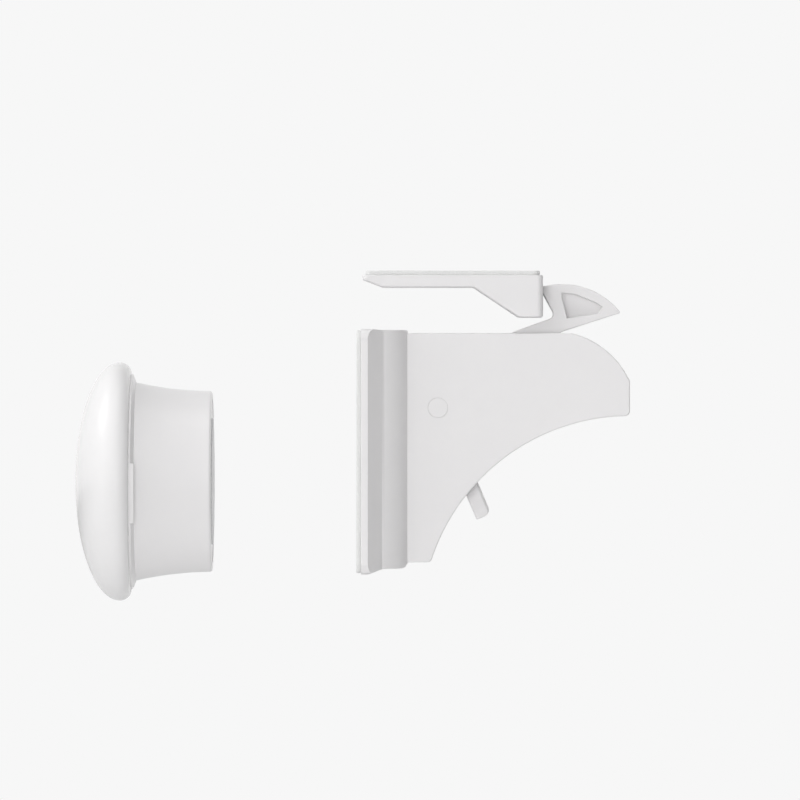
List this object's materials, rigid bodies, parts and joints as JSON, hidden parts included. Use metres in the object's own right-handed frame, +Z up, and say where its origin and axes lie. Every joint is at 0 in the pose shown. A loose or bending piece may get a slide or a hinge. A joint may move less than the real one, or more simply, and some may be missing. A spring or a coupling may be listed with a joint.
{
  "type": "cabinet safety lock",
  "caption": "Hidden spring latch for a cabinet door, with the catch it hooks behind and the domed magnetic key that swings the hook down through the closed door.",
  "frame": {"origin": "middle of the lock's adhesive pad, on the plane of the cabinet door's inner face", "axes": "+X from the door into the cabinet, +Z up, door shut; the set is symmetric about the plane Y = 0 apart from the key's lugs"},
  "size_m": [0.1274, 0.0548, 0.0757],
  "materials": {
    "satin_plastic": "white moulded plastic, satin",
    "gloss_plastic": "white moulded plastic, glossy",
    "foam_tape": "white double-sided foam tape",
    "felt": "pale thin felt",
    "steel": "plain drawn steel",
    "spring_wire": "bright spring wire",
    "zinc_screw": "zinc-plated steel",
    "nickel": "nickel-plated magnet"
  },
  "bodies": {
    "lock": {"lock_adhesive_pad": "foam_tape", "base_plate": "satin_plastic", "housing": "satin_plastic", "housing_screws": "zinc_screw", "pivot_pin": "steel", "pin_caps": "satin_plastic", "return_spring": "spring_wire"},
    "latch": {"latch_arm": "satin_plastic", "latch_magnet": "nickel", "magnet_cover": "satin_plastic"},
    "catch": {"catch_adhesive_pad": "foam_tape", "catch_body": "satin_plastic"},
    "key": {"key_cap": "gloss_plastic", "key_body": "satin_plastic", "key_magnet": "nickel", "key_pole_cup": "steel", "key_magnet_holder": "satin_plastic", "key_end_plate": "satin_plastic", "key_face_pad": "felt", "key_screws": "zinc_screw"}
  },
  "joints": [
    {"name": "latch_swing", "type": "hinge", "parent": "lock", "child": "latch", "pos_m": [0.0186, 0, 0.01], "axis": [0, 1, 0], "range_deg": [0, 17], "stiffness_Nm_per_rad": 0.0187, "springref_deg": -20.05, "deforming": ["return_spring"]},
    {"name": "door_play", "type": "slide", "parent": "lock", "child": "catch", "axis": [1, 0, 0], "range_m": [0, 0.0018]},
    {"name": "key_approach", "type": "slide", "parent": "lock", "child": "key", "axis": [1, 0, 0], "range_m": [0, 0.015]}
  ]
}
